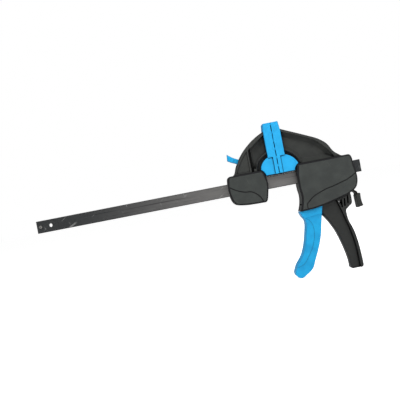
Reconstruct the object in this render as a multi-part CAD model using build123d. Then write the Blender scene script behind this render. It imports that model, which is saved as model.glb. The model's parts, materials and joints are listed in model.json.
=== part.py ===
"""One-handed quick release bar clamp, jaws closed, in millimetres.

+X runs along the bar from the moving jaw to the handle, +Z points to the jaw tips and
+Y is the clamp's thickness. The origin is on the bar's centreline where the jaw faces meet.
Side outlines are drawn in the XZ plane and given their thickness along Y.
"""

from build123d import *
import math
import os

# ---- driving dimensions ---------------------------------------------------------------------
BAR_WIDTH = 20.0  # the bar's section along Z
BAR_THICK = 6.0  # and along Y
BAR_LEFT, BAR_RIGHT = -403.0, 133.0
HOLE_FROM_END, BAR_HOLE_R = 22.5, 3.0
STOP_FROM_END, STOP_R, STOP_PROUD = 6.5, 2.2, 2.4
BAR_ROOM = 0.3  # running room on every side of the bar

BODY_HALF, BODY_BAND = 18.0, 12.0  # half thickness over the covers, and of the frame between them
JAW_HALF, JAW_BAND = 17.0, 11.0  # the same on the moving jaw
BODY_ROOF, JAW_ROOF = 21.1, 21.6  # top of each housing
COVER_WALL = 2.2
COVER_BEVEL = 2.7
GROOVE_WIDTH, GROOVE_DEPTH = 1.6, 1.0
BAND_INSET = 0.5  # shadow line between the covers and the frame
FRAME_WALL = 3.4
SAME_WAY, TOUCHING = 0.01, 0.05

ARM_HALF = 13.0
WEB_HALF, PANEL_FLOOR = 4.0, ARM_HALF - 1.2
WEB_DISH, JAW_WEB_DISH, POST_DISH = 6.0, 1.8, 0.8  # sloping border of each hollow
ARM_BEVEL, PAD_BEVEL, TAB_BEVEL, TRIGGER_BEVEL, GRIP_BEVEL, FRONT_BEVEL = 1.0, 0.6, 0.5, 1.4, 1.2, 2.2
PLATE_CORNER = 2.0
SLOT_LEFT, SLOT_RIGHT, SLOT_WEB = -43.5, -39.1, 2.5  # the slot down the jaw's arm
PAD_HALF, EAR_HALF, PAD_CORE_HALF = 15.0, 13.0, 8.0
PAD_EDGE, PAD_TOP, PAD_FACE_GAP = 13.8, 95.1, 0.1
POST_TOP = 83.0
PAD_PITCH, PAD_BAR, PAD_SLOT = 13.5, 4.0, 0.6  # bars across the jaw face, and the shallow slots between them
PAD_BOTTOM = 12.2
SHOULDER_Z = 39.4
RIB_HALF = 5.9
POST_FACE = 3.6
FOOT_FACE, FOOT_HALF, JAW_FOOT_HALF, FOOT_LOW = 0.4, 12.0, 11.0, BAR_WIDTH / 2 + BAR_ROOM  # the sill under each pad

TRIGGER_HALF, TRIGGER_INSIDE = 13.0, 9.5
RIDGE_STEP = 0.8  # the cheeks step down behind the finger ridge
TRIGGER_PIVOT = (45.0, 14.0)
TRIGGER_BOSS_R, PIN_R, PIN_ROOM = 3.6, 2.0, 0.05
NOSE_X, NOSE_Z, NOSE_R = 53.0, -19.5, 4.0  # the trigger's cross bar that pushes the drive plates

HANDLE_HALF, GRIP_HALF = 9.0, 13.0
HANDLE_BASE = -161.6
STEP_GROOVE, STEP_DEPTH = 1.6, 2.5  # the groove in front of the grip's raised back
HORN_SLOT, HORN_WEB = 2.6, 4.0
HANG_R, HANG_WALL = 1.4, 1.5  # the hole in the horn's first slot, and half its wall

DRIVE_X, DRIVE_THICK, DRIVE_COUNT = 57.1, 2.2, 2
SPRING_R, SPRING_WIRE = 12.4, 0.8
SPRING_SIDES, COIL_STEPS = 4, 10
RIB_X, RIB_THICK = 90.0, 4.0  # the wall inside the housing that both springs push on

BRAKE_PIVOT = (104.0, 14.0)
BRAKE_CANT = 7.1  # degrees
BRAKE_THICK, BRAKE_WIDE = 3.0, 8.0  # the lever's thickness, and half its width
PADDLE_HALF, PADDLE_BEVEL = 9.0, 1.0

LOCK_FOOT = (-54.0, -16.5)
LOCK_CANT = 10.0
LOCK_LONG, LOCK_THICK = 34.0, 4.0
RELEASE_PIVOT = (-56.0, 36.0)
RELEASE_FOOT = (-64.1, 14.0)
RELEASE_HALF = 6.5
TAB_CREASE = 1.2  # the groove across the tab

SCREW_R, SCREW_HEAD_R, BOSS_HALF = 1.5, 3.0, 3.8
BODY_SCREWS = [(35.5, 13.5), (111.0, 14.0), (100.0, -33.5)]
JAW_SCREWS = [(-77.0, 15.0), (-35.0, -21.0)]


# ---- building blocks ------------------------------------------------------------------------
def region(*stretches):
    """The flat face inside stretches that follow each other round a side outline."""
    return make_face([edge for stretch in stretches for edge in stretch.edges()])


def curve(*points):
    """A smooth line of arcs through the points. A point may carry the line's direction there: (x, z, run, rise)."""
    spots = [Vector(*point[:2]) for point in points]
    chords = [after - before for before, after in zip(spots, spots[1:])]
    ways = [(one.normalized() * two.length + two.normalized() * one.length).normalized()
            for one, two in zip(chords, chords[1:])]
    given = [Vector(*point[2:]).normalized() if len(point) > 2 else None for point in points]
    ways = [way if own is None else own for own, way in zip(given[1:-1], ways)]
    first = given[0] or turned_over(ways[0] if ways else given[-1], chords[0])
    last = given[-1] or turned_over(ways[-1] if ways else first, chords[-1])
    ways = [first, *ways, last]
    arcs = []
    for spot, chord, way_in, way_out in zip(spots, chords, ways, ways[1:]):
        if (turned_over(way_in, chord) - way_out).length < SAME_WAY:
            arcs.append(arc(spot, spot + chord, way_in))
            continue
        both = way_in + way_out
        reach, span = chord.dot(both), chord.dot(chord)
        arm = span / (math.sqrt(reach**2 + 2 * (1 - way_in.dot(way_out)) * span) + reach)
        middle = spot + (chord + (way_in - way_out) * arm) * 0.5
        arcs += [arc(spot, middle, way_in), arc(middle, spot + chord, chord - both * arm)]
    return Wire(arcs)


def arc(spot, goal, way):
    """One arc that sets out in this direction, or a line where it would be flat."""
    chord = goal - spot
    if chord.cross(way.normalized()).length < SAME_WAY * chord.length**0.5 / 10:
        return Line(spot, goal).edge()
    return TangentArc(spot, goal, tangent=way).edge()


def turned_over(way, chord):
    """The direction in which one arc along the chord ends, having set out in this one."""
    along = chord.normalized()
    return along * (2 * way.dot(along)) - way


def inset(face, depth):
    """The outline moved inward by depth."""
    return offset(face, amount=-depth)


def slab(face, low, high):
    """A side outline given its thickness, from Y = low to Y = high."""
    return extrude(Plane.XZ.offset(-high) * face, amount=high - low)


def both_sides(face, inner, outer):
    return slab(face, inner, outer) + slab(face, -outer, -inner)


def block(x_range, y_range, z_range):
    sizes = [high - low for low, high in (x_range, y_range, z_range)]
    centre = [(low + high) / 2 for low, high in (x_range, y_range, z_range)]
    return Pos(*centre) * Box(*sizes)


def post_at(x, z, half, low, high):
    """A square post along Y."""
    return block((x - half, x + half), (low, high), (z - half, z + half))


def stripe(start, end, width):
    """A straight band between two points of the side view."""
    run = Vector(*end) - Vector(*start)
    middle = Vector(*start) + run * 0.5
    return Pos(middle.X, middle.Y) * Rot(0, 0, math.degrees(math.atan2(run.Y, run.X))) * Rectangle(run.length, width)


def cross_pin(x, z, radius, low, high):
    """A round along Y."""
    return Pos(x, (low + high) / 2, z) * Rot(90, 0, 0) * Cylinder(radius, high - low)


def bar_window(x_low, x_high, room=BAR_ROOM):
    half_y, half_z = BAR_THICK / 2 + room, BAR_WIDTH / 2 + room
    return block((x_low, x_high), (-half_y, half_y), (-half_z, half_z))


def face_edges(solid, y):
    """The edges that lie in the plane at this Y."""
    return solid.edges().filter_by_position(Axis.Y, y - 0.01, y + 0.01)


def bevel_along(solid, half, bevel, *lines):
    """The solid with a bevel on both cheeks, at Y = half and -half, where they follow these side lines."""
    edges = face_edges(solid, half) + face_edges(solid, -half)
    spots = [Vector((edge @ 0.5).X, (edge @ 0.5).Z) for edge in edges]
    met = [edge for edge, spot in zip(edges, spots) if min(line.distance_to(spot) for line in lines) < TOUCHING]
    return chamfer(met, bevel)


def bevelled_slab(face, low, high, bevel):
    solid = slab(face, low, high)
    return chamfer(face_edges(solid, low) + face_edges(solid, high), bevel)


def coil(x_low, x_high, turns):
    """Open coil spring round the bar, of wire with SPRING_SIDES flats and COIL_STEPS bends to a turn."""
    rise = x_high - x_low - 2 * SPRING_WIRE
    wire = Pos(0, 0, SPRING_R) * Rot(90, 0, 0) * RegularPolygon(SPRING_WIRE, SPRING_SIDES)
    sections = []
    for step in range(turns * COIL_STEPS + 1):
        place = Pos(x_low + SPRING_WIRE + rise * step / (turns * COIL_STEPS), 0, 0)
        sections.append(place * Rot(360 * step / COIL_STEPS, 0, 0) * wire)
    return loft(sections, ruled=True)


# ---- the housings' side outlines ------------------------------------------------------------
def body_outline():
    return region(
        Line((34, BODY_ROOF), (112.5, BODY_ROOF)),
        curve((112.5, BODY_ROOF, 1, 0), (118.8, BODY_ROOF - 11, 0, -1), (121.4, -16, 0, -1), (112, -37, -0.85, -0.5)),
        curve((112, -37, -0.85, -0.5), (78.3, -48.3), (21.4, -55.2, -1, 0.05)),
        curve((21.4, -55.2), (27.2, -35), (26.2, -14), (28, BODY_ROOF - 11, 0.2, 1)),
        curve((28, BODY_ROOF - 11, 0.2, 1), (34, BODY_ROOF, 1, 0)),
    )


def jaw_outline():
    return region(
        Line((-79.5, JAW_ROOF), (-30, JAW_ROOF)),
        curve((-30, JAW_ROOF, 1, 0), (-24.8, JAW_ROOF - 5, 0.25, -1), (-21.4, 0.9, 0, -1),
              (-25.4, -22.5, -0.25, -1), (-31.5, -29.8, -1, 0.02), (-74, -26.6, -1, 0.22), (-83.4, -17, -0.3, 1),
              (-86.2, 1, 0, 1), (-84.6, JAW_ROOF - 5, 0.12, 1), (-79.5, JAW_ROOF, 1, 0)),
    )


def cover(outline, band, half, swoosh, screws):
    """One side cover on +Y: a dished shell with a bevelled rim, a curved groove and screw bosses."""
    outer = slab(outline, band, half)
    shell = chamfer(face_edges(outer, half), COVER_BEVEL)
    shell -= slab(inset(outline, COVER_WALL), band, half - COVER_WALL)
    for x, z in screws:
        shell += slab(outline, band, half - 1) & post_at(x, z, BOSS_HALF, band, half - 1)
    shell -= slab(trace(swoosh, line_width=GROOVE_WIDTH), half - GROOVE_DEPTH, half + 1)
    return shell


def body_swoosh():
    return curve((124, -6.5), (111.9, -14.6), (85.7, -23.2), (62.9, -28.5), (41.4, -38.5), (33.6, -47.3), (39.5, -59))


def jaw_swoosh():
    return curve((-90, 9.5), (-64.2, -6.5), (-47.5, -10.4), (-33.5, -32))


# ---- the bar --------------------------------------------------------------------------------
def bar():
    solid = block((BAR_LEFT, BAR_RIGHT), (-BAR_THICK / 2, BAR_THICK / 2), (-BAR_WIDTH / 2, BAR_WIDTH / 2))
    solid = fillet(solid.edges().filter_by(Axis.X), 0.8)
    solid -= cross_pin(BAR_LEFT + HOLE_FROM_END, 0, BAR_HOLE_R, -BAR_THICK, BAR_THICK)
    return solid - cross_pin(BAR_LEFT + STOP_FROM_END, 0, STOP_R, -BAR_THICK, BAR_THICK)


def bar_stop_pin():
    x, reach = BAR_LEFT + STOP_FROM_END, BAR_THICK / 2 + STOP_PROUD
    return cross_pin(x, 0, STOP_R, -reach, reach) - cross_pin(x, 0, STOP_R / 2, -2 * reach, 2 * reach)


# ---- the jaw pads ---------------------------------------------------------------------------
def pad(ear_low, ear_mid, ear_tip, arc_mid):
    """Sleeve that slips over a jaw's post, with an ear on each cheek. Drawn for the fixed jaw, on +X."""
    face = PAD_FACE_GAP
    strap = region(Polyline((face, SHOULDER_Z), (face, PAD_TOP), (12.3, PAD_TOP), (PAD_EDGE, 81.8),
                            (PAD_EDGE, SHOULDER_Z), (face, SHOULDER_Z)))
    rib = region(Polyline((face, PAD_BOTTOM), (face, SHOULDER_Z + 1), (RIB_HALF, SHOULDER_Z + 1),
                          (RIB_HALF, PAD_BOTTOM), (face, PAD_BOTTOM)))
    ear = region(
        Line((face, PAD_BOTTOM), (ear_low, PAD_BOTTOM)),
        curve((ear_low, PAD_BOTTOM), ear_mid, ear_tip),
        ThreePointArc(ear_tip, arc_mid, (PAD_EDGE, SHOULDER_Z + 1)),
        Polyline((PAD_EDGE, SHOULDER_Z + 1), (face, SHOULDER_Z + 1), (face, PAD_BOTTOM)),
    )
    solid = bevelled_slab(strap, -PAD_HALF, PAD_HALF, PAD_BEVEL) + slab(rib, -PAD_HALF, PAD_HALF)
    solid += bevelled_slab(ear, -EAR_HALF, EAR_HALF, PAD_BEVEL)
    solid -= block((POST_FACE, 60), (-PAD_CORE_HALF, PAD_CORE_HALF), (0, POST_TOP))
    for step in range(int((PAD_TOP - PAD_BOTTOM) / PAD_PITCH)):
        low = PAD_BOTTOM + 1 + PAD_PITCH * step
        solid -= block((face - 1, face + PAD_SLOT), (-PAD_HALF - 1, PAD_HALF + 1), (low, low + PAD_PITCH - PAD_BAR))
    return solid


def body_pad():
    return pad(25.6, (27.8, 18), (32.9, 22.2), (26, 33.4))


def jaw_pad():
    return mirror(pad(21.4, (23.4, 17.6), (27.9, 22.4), (23, 34)), about=Plane.YZ)


# ---- the fixed jaw, its housing and the handle ----------------------------------------------
def body_arm():
    edge = PAD_EDGE + 0.1
    outer = curve((edge, 82.2, 1, -0.46), (64, 59.1, 1, -0.48), (79.5, 48.9), (97.3, 25.7), (105, BODY_ROOF, 1, -0.12))
    hollow = curve((edge, 47), (24.9, 39.6), (31.8, 31.6), (35.8, BODY_ROOF))
    outline = region(outer, Line((105, BODY_ROOF), (35.8, BODY_ROOF)), hollow, Line((edge, 47), (edge, 82.2)))
    arm = bevel_along(slab(outline, -ARM_HALF, ARM_HALF), ARM_HALF, ARM_BEVEL, outer, hollow)
    pocket = region(
        curve((6, 81.6, 1, -0.44), (57, 58.6, 1, -0.48), (79.5, 40.2), (92.4, BODY_ROOF + 0.6)),
        Line((92.4, BODY_ROOF + 0.6), (37, BODY_ROOF + 0.6)),
        curve((37, BODY_ROOF + 0.6), (32.8, 32.6), (25.9, 40.6), (6, 52)),
        Line((6, 52), (6, 81.6)),
    )
    return arm - dishes(pocket, WEB_HALF, ARM_HALF, WEB_DISH)


def dishes(pocket, floor, half, slope):
    """A pocket in each side, with a sloping border to its floor."""
    cutter = slab(pocket, floor, half + 1)
    cutter = chamfer(face_edges(cutter, floor), slope)
    return cutter + mirror(cutter, about=Plane.XZ)


def body_post():
    """The core of the fixed jaw that the pad slips over."""
    half = PAD_CORE_HALF
    post = block((POST_FACE, PAD_EDGE), (-half, half), (FOOT_LOW, POST_TOP))
    knee = region(Polyline((POST_FACE, FOOT_LOW), (POST_FACE, 50), (16, 48), (26, 41), (33, 33), (37.5, 19),
                           (37.5, FOOT_LOW), (POST_FACE, FOOT_LOW)))
    foot = block((FOOT_FACE, 30), (-FOOT_HALF, FOOT_HALF), (FOOT_LOW, PAD_BOTTOM - 0.1))
    return post + slab(knee, -half, half) + foot


def handle():
    front = curve((56.5, -67.4), (69.8, -90.2), (79.7, -120.4), (85.4, -157.6, 0, -1))
    back = curve((105.5, -157.2, 0, 1), (102.2, -107.9), (94.2, -73), (94.4, -67), (99.6, -62), (105.4, -57.2),
                 (106.4, -50.5), (105.5, -38.6))
    foot = ThreePointArc((101.3, HANDLE_BASE), (104.3, -160.4), (105.5, -157.2))
    outline = region(
        Line((54, -30), (56.5, -67.4)), front,
        ThreePointArc((85.4, -157.6), (86.2, -160.5), (88.6, HANDLE_BASE)),
        Line((88.6, HANDLE_BASE), (101.3, HANDLE_BASE)), foot, back,
        Polyline((105.5, -38.6), (103, -36), (100, -27), (57, -27), (54, -30)),
    )
    solid = bevel_along(slab(outline, -HANDLE_HALF, HANDLE_HALF), HANDLE_HALF, FRONT_BEVEL, front)
    step = curve((81.4, -44), (88.2, -68.3), (99, -118.6), (100.6, HANDLE_BASE, 0.02, -1))
    solid -= both_sides(trace(step, line_width=2 * STEP_GROOVE), HANDLE_HALF - STEP_DEPTH, HANDLE_HALF + 1)
    strip = region(step, Line((100.6, HANDLE_BASE), (101.3, HANDLE_BASE)), foot, back,
                   Polyline((105.5, -38.6), (103, -36), (81.4, -44)))
    solid += bevel_along(slab(strip, -GRIP_HALF, GRIP_HALF), GRIP_HALF, GRIP_BEVEL, back)
    for top, low in (((94.9, -47.2), (93.4, -59.9)), ((100.7, -43.8), (99.1, -56.3))):
        solid -= both_sides(stripe(top, low, HORN_SLOT), HORN_WEB, GRIP_HALF + 1)
    hollow = region(Polyline((85, -50.2), (91, -47.8), (90, -61.3), (87.9, -61.3), (87.2, -54.8), (85.4, -54),
                             (85, -50.2)))
    solid -= both_sides(hollow, HANG_WALL, GRIP_HALF + 1)
    return solid - cross_pin(88.4, -51.9, HANG_R, -GRIP_HALF, GRIP_HALF)


def body_frame():
    outline = body_outline()
    band = slab(inset(outline, BAND_INSET), -BODY_BAND, BODY_BAND)
    hollow = slab(inset(outline, FRAME_WALL), -20, 20)
    band -= hollow - block((RIB_X, RIB_X + RIB_THICK), (-20, 20), (-60, 30))
    band -= block((25.5, 80), (-20, 20), (-60, -44))  # where the trigger goes in
    grip = handle()
    grip -= both_sides(outline, BODY_BAND, BODY_HALF)
    grip -= both_sides(outline, HANDLE_HALF, BODY_HALF) & block((20, 84), (-20, 20), (-60, 0))
    solid = band + grip
    for x, z in BODY_SCREWS:
        solid += post_at(x, z, BOSS_HALF, -BODY_BAND, BODY_BAND) & slab(inset(outline, 1), -BODY_BAND, BODY_BAND)
    solid += body_arm() + block((36.2, 103), (-BODY_BAND, BODY_BAND), (BODY_ROOF - 2, BODY_ROOF + 0.5))
    solid += body_post()
    solid -= block((103, 115), (-9.5, 9.5), (-45, -30))  # where the brake lever comes out
    solid -= bar_window(0, 140)
    for x, z in BODY_SCREWS:
        solid -= cross_pin(x, z, SCREW_R + 0.2, -20, 20)
    return solid


def body_cover():
    solid = cover(body_outline(), BODY_BAND, BODY_HALF, body_swoosh(), BODY_SCREWS)
    x, z = TRIGGER_PIVOT
    solid += post_at(x, z, PIN_R + 2, TRIGGER_HALF + 0.4, BODY_HALF - 1)
    solid -= cross_pin(x, z, PIN_R, 0, TRIGGER_HALF + 2.5)
    return solid - block((17, 81), (0, TRIGGER_HALF + 0.4), (-60, -44))


def with_heads(side, screws, half):
    """The cover on +Y, which the screws go in through."""
    for x, z in screws:
        side -= cross_pin(x, z, SCREW_R + 0.2, 0, half + 1)
        side -= cross_pin(x, z, SCREW_HEAD_R + 0.3, half - 2, half + 1)
    return side


def with_threads(side, screws, band):
    """The cover on -Y, which the screws bite into."""
    for x, z in screws:
        side -= cross_pin(x, z, SCREW_R, -band - 3, 0)
    return side


def screws(places, band, half):
    """Pan head screws from the +Y side, as one group."""
    group = []
    for x, z in places:
        head = cross_pin(x, z, SCREW_HEAD_R, half - 2, half - 0.4)
        group.append(head + cross_pin(x, z, SCREW_R, -band - 2.8, half - 1.5))
    return Compound(children=group)


# ---- the trigger ----------------------------------------------------------------------------
def trigger():
    px, pz = TRIGGER_PIVOT
    r = TRIGGER_BOSS_R
    front = curve((20.6, -55.6, 0, -1), (22, -62), (26.8, -72, 0.1, -1), (23, -95.5), (14, -121.5), (-3.2, -147.5),
                  (-4.9, -152.5, 0, -1), (3.9, -161.3, 1, -0.05))
    back = curve((3.9, -161.3, 1, -0.05), (12.2, -157.6), (22.8, -150.4), (31.4, -135), (46, -101.1),
                 (52.3, -75.2), (57.2, -55.6))
    head = Polyline((57.2, -55.6), (59.6, -46), (59, -30), (px + r, pz - 2))
    neck = Polyline((px - r, pz - 2), (34.5, -28), (32, -42.5), (28.6, -47), (27.4, -55.6), (20.6, -55.6))
    top = ThreePointArc((px + r, pz - 2), (px, pz + r), (px - r, pz - 2))
    outline = region(front, back, head, top, neck)
    solid = slab(outline, -TRIGGER_HALF, TRIGGER_HALF)
    solid = bevel_along(solid, TRIGGER_HALF, TRIGGER_BEVEL, front, back)
    inside = region(
        curve((32, -60), (26.8, -95.5), (5, -141)),
        Polyline((5, -141), (3.6, -147), (8, -151), (40, -151), (70, -110), (75, 30), (20, 30), (20, -40), (32, -60)),
    )
    solid -= slab(inside, -TRIGGER_INSIDE, TRIGGER_INSIDE)
    ridge = region(
        curve((25, -67.5, 1, -0.25), (37, -86, 0, -1), (23.7, -124.2), (5.8, -141.7), (-6, -142.5)),
        Polyline((-6, -142.5), (-12, -170), (24, -175), (80, -110), (70, -63), (25, -67.5)),
    )
    solid -= both_sides(ridge, TRIGGER_HALF - RIDGE_STEP, TRIGGER_HALF + 2)
    solid += cross_pin(NOSE_X, NOSE_Z, NOSE_R, -TRIGGER_INSIDE - 1, TRIGGER_INSIDE + 1)
    return solid - cross_pin(px, pz, PIN_R + PIN_ROOM, -20, 20)


def trigger_pivot_pin():
    reach = TRIGGER_HALF + 2.3
    return cross_pin(*TRIGGER_PIVOT, PIN_R, -reach, reach)


# ---- drive, brake and lock ------------------------------------------------------------------
def drive_plates():
    plates = []
    for step in range(DRIVE_COUNT):
        x = DRIVE_X + step * (DRIVE_THICK + 0.05)
        face = block((x, x + DRIVE_THICK), (-9, 9), (-24.5, 13.2))
        face = chamfer(face.edges().filter_by(Axis.X), PLATE_CORNER)
        plates.append(face - bar_window(DRIVE_X - 1, RIB_X))
    return Compound(children=plates)


def drive_spring():
    return coil(DRIVE_X + DRIVE_COUNT * (DRIVE_THICK + 0.05), RIB_X, 5)


def brake_spring():
    return coil(RIB_X + RIB_THICK, 101.4, 2)


def brake_frame():
    """Axes of the canted brake lever: its pivot, with local Z along the plate."""
    return Pos(BRAKE_PIVOT[0], 0, BRAKE_PIVOT[1]) * Rot(0, -BRAKE_CANT, 0)


def brake_lever():
    half = BRAKE_THICK / 2
    plate = block((-half, half), (-BRAKE_WIDE, BRAKE_WIDE), (-52.5, 3))
    bend = region(Polyline((-half, -51), (4.2, -57.4), (4.2, -77), (4.2 + BRAKE_THICK, -77),
                           (4.2 + BRAKE_THICK, -56.2), (half, -49.8), (-half, -51)))
    solid = brake_frame() * (plate + slab(bend, -BRAKE_WIDE, BRAKE_WIDE))
    solid -= block((80, 125), (-BAR_THICK / 2 - 0.4, BAR_THICK / 2 + 0.4), (-11.2, 11.2))
    return solid


def brake_paddle():
    outline = region(
        Polyline((115, -66.4), (114.4, -46.2), (115.4, -45), (121.6, -43.6), (122.8, -44.8)),
        ThreePointArc((122.8, -44.8), (122.3, -53), (124.2, -64.8)),
        Line((124.2, -64.8), (115, -66.4)),
    )
    solid = bevelled_slab(outline, -PADDLE_HALF, PADDLE_HALF, PADDLE_BEVEL)
    return solid - brake_lever()


def lock_frame():
    return Pos(LOCK_FOOT[0], 0, LOCK_FOOT[1]) * Rot(0, -LOCK_CANT, 0)


def lock_plates():
    centre = -LOCK_FOOT[1] / math.cos(math.radians(LOCK_CANT))
    plates = []
    for side in (-1, 1):
        low, high = sorted((side * 0.03, side * LOCK_THICK / 2))
        face = block((low, high), (-8, 8), (-1, LOCK_LONG - 1))
        face = chamfer(face.edges().filter_by(Axis.X), PLATE_CORNER)
        window = Pos(0, 0, centre) * Box(20, BAR_THICK + 1, BAR_WIDTH + 1.6)
        plates.append(lock_frame() * (face - window))
    return Compound(children=plates)


def lock_spring():
    return coil(-51.9, -46, 2)


def release_lever():
    px, pz = RELEASE_PIVOT
    fx, fz = RELEASE_FOOT
    tab = region(
        ThreePointArc((-77.4, 57.7), (-70, 51.7), (-61, 46.8)),
        Polyline((-61, 46.8), (px + 1, pz + 5), (px - 3, pz - 4), (-64.5, 40.3)),
        ThreePointArc((-64.5, 40.3), (-70.5, 43), (-78.4, 47.3)),
        Line((-78.4, 47.3), (-77.4, 57.7)),
    )
    solid = slab(tab, -RELEASE_HALF, RELEASE_HALF)
    solid += cross_pin(px, pz, 5, -RELEASE_HALF, RELEASE_HALF)
    arm = region(Polyline((px + 3, pz - 2.6), (px - 4.5, pz + 0.5), (fx - 2.3, fz), (fx + 1.7, fz),
                          (fx + 1.7, fz + 4.6), (px + 3, pz - 2.6)))
    solid += slab(arm, -RELEASE_HALF, RELEASE_HALF)
    cheeks = face_edges(solid, RELEASE_HALF) + face_edges(solid, -RELEASE_HALF)
    solid = chamfer([edge for edge in cheeks if edge.center().X < -66], TAB_BEVEL)
    solid += cross_pin(fx, fz, 2.5, -RELEASE_HALF, RELEASE_HALF)
    solid -= both_sides(stripe((-67.1, 51), (-69.1, 41), TAB_CREASE), RELEASE_HALF - TAB_CREASE / 2, RELEASE_HALF + 1)
    return solid - cross_pin(px, pz, PIN_R + PIN_ROOM, -20, 20)


def release_pin():
    return cross_pin(*RELEASE_PIVOT, PIN_R, -10.5, 10.5)


# ---- the moving jaw -------------------------------------------------------------------------
def jaw_arm():
    edge = -PAD_EDGE - 0.1
    outer = curve((-74, JAW_ROOF, 0.8, 0.6), (-69.2, 28, 0.3, 1), (-59, 47.4), (-49.1, 59.3), (edge, 82.6))
    hollow = curve((edge, 46.6), (-21.5, 42.4), (-28.6, 36.6), (-34.3, JAW_ROOF))
    outline = region(outer, Line((edge, 82.6), (edge, 46.6)), hollow, Line((-34.3, JAW_ROOF), (-74, JAW_ROOF)))
    arm = bevel_along(slab(outline, -ARM_HALF, ARM_HALF), ARM_HALF, ARM_BEVEL, outer, hollow)
    web = region(
        curve((SLOT_RIGHT, 60.4), (-29, 67.9), (-6, 82)),
        Line((-6, 82), (-6, 52)),
        curve((-6, 52), (-21.9, 43.6), (-29.4, 37.4), (-35.2, 26)),
        Polyline((-35.2, 26), (SLOT_RIGHT, 26), (SLOT_RIGHT, 60.4)),
    )
    arm -= dishes(web, WEB_HALF, ARM_HALF, JAW_WEB_DISH)
    low = JAW_ROOF + 0.1
    slot = region(Polyline((SLOT_LEFT, low), (SLOT_LEFT, 57.4), (SLOT_RIGHT, 61.6), (SLOT_RIGHT, low), (SLOT_LEFT, low)))
    arm -= both_sides(slot, SLOT_WEB, ARM_HALF + 1)
    panel = region(
        curve((-68.6, JAW_ROOF + 2), (-60.5, 38), (SLOT_LEFT - 2.2, 57)),
        Polyline((SLOT_LEFT - 2.2, 57), (SLOT_LEFT - 2.2, JAW_ROOF + 2), (-68.6, JAW_ROOF + 2)),
    )
    return arm - dishes(panel, PANEL_FLOOR, ARM_HALF, POST_DISH)


def jaw_post():
    half = PAD_CORE_HALF
    post = block((-PAD_EDGE, -POST_FACE), (-half, half), (FOOT_LOW, POST_TOP))
    knee = region(Polyline((-POST_FACE, FOOT_LOW), (-POST_FACE, 50), (-16, 48), (-22, 43.6), (-29, 37), (-36, 20),
                           (-36, FOOT_LOW), (-POST_FACE, FOOT_LOW)))
    foot = block((-26, -FOOT_FACE), (-JAW_FOOT_HALF, JAW_FOOT_HALF), (FOOT_LOW, PAD_BOTTOM - 0.1))
    return post + slab(knee, -half, half) + foot


def jaw_frame():
    outline = jaw_outline()
    solid = slab(inset(outline, BAND_INSET), -JAW_BAND, JAW_BAND)
    solid += jaw_arm() + block((-72.5, -36), (-JAW_BAND, JAW_BAND), (JAW_ROOF - 2, JAW_ROOF + 0.5))
    solid += jaw_post()
    solid -= block((-68, -46), (-20, 20), (-19, 17.6))  # room for the lock plates
    room = RELEASE_HALF + 0.6
    chamber = region(Polyline((-73, 15), (-47, 15), (-47, 44), (-52, 51), (-59.2, 49.6), (-66, 53), (-80, 57),
                              (-80, 33), (-67, 34), (-68.5, 18), (-73, 15)))
    solid -= slab(chamber, -room, room) & block((-90, -46), (-20, 20), (16, 60))
    for x, z in JAW_SCREWS:
        solid -= cross_pin(x, z, SCREW_R + 0.2, -20, 20)
    solid -= cross_pin(*RELEASE_PIVOT, PIN_R, -10.5, 10.5)
    return solid - bar_window(-120, -10)


def jaw_cover():
    return cover(jaw_outline(), JAW_BAND, JAW_HALF, jaw_swoosh(), JAW_SCREWS)


# ---- every piece, in its own file -----------------------------------------------------------
def near(side):
    """The -Y twin of a part drawn on +Y."""
    return mirror(side, about=Plane.XZ)


def all_parts():
    body_side, jaw_side = body_cover(), jaw_cover()
    return {
        "bar": bar(),
        "bar_stop_pin": bar_stop_pin(),
        "body_frame": body_frame(),
        "body_cover_near": with_threads(near(body_side), BODY_SCREWS, BODY_BAND),
        "body_cover_far": with_heads(body_side, BODY_SCREWS, BODY_HALF),
        "body_cover_screws": screws(BODY_SCREWS, BODY_BAND, BODY_HALF),
        "body_pad": body_pad(),
        "trigger": trigger(),
        "trigger_pivot_pin": trigger_pivot_pin(),
        "drive_plates": drive_plates(),
        "drive_spring": drive_spring(),
        "brake_lever": brake_lever(),
        "brake_paddle": brake_paddle(),
        "brake_spring": brake_spring(),
        "jaw_frame": jaw_frame(),
        "jaw_cover_near": with_threads(near(jaw_side), JAW_SCREWS, JAW_BAND),
        "jaw_cover_far": with_heads(jaw_side, JAW_SCREWS, JAW_HALF),
        "jaw_cover_screws": screws(JAW_SCREWS, JAW_BAND, JAW_HALF),
        "jaw_pad": jaw_pad(),
        "release_lever": release_lever(),
        "release_pivot_pin": release_pin(),
        "lock_plates": lock_plates(),
        "lock_spring": lock_spring(),
    }


os.makedirs("parts", exist_ok=True)
for name, shape in all_parts().items():
    export_step(shape, f"parts/{name}.step")
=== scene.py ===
# %% [markdown]
# # A one-handed bar clamp
# The CAD model gives every rigid piece its real size and place, so this file only dresses it. Each
# step first says what the piece or finish is on the real clamp, then how it is made here and why.
# Lengths are in metres, because the frame is. +X runs along the bar to the handle, +Z to the jaw tips.

# %% Load the frame and remember its box
import json
import math

import bpy
from mathutils import Matrix, Vector

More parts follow.
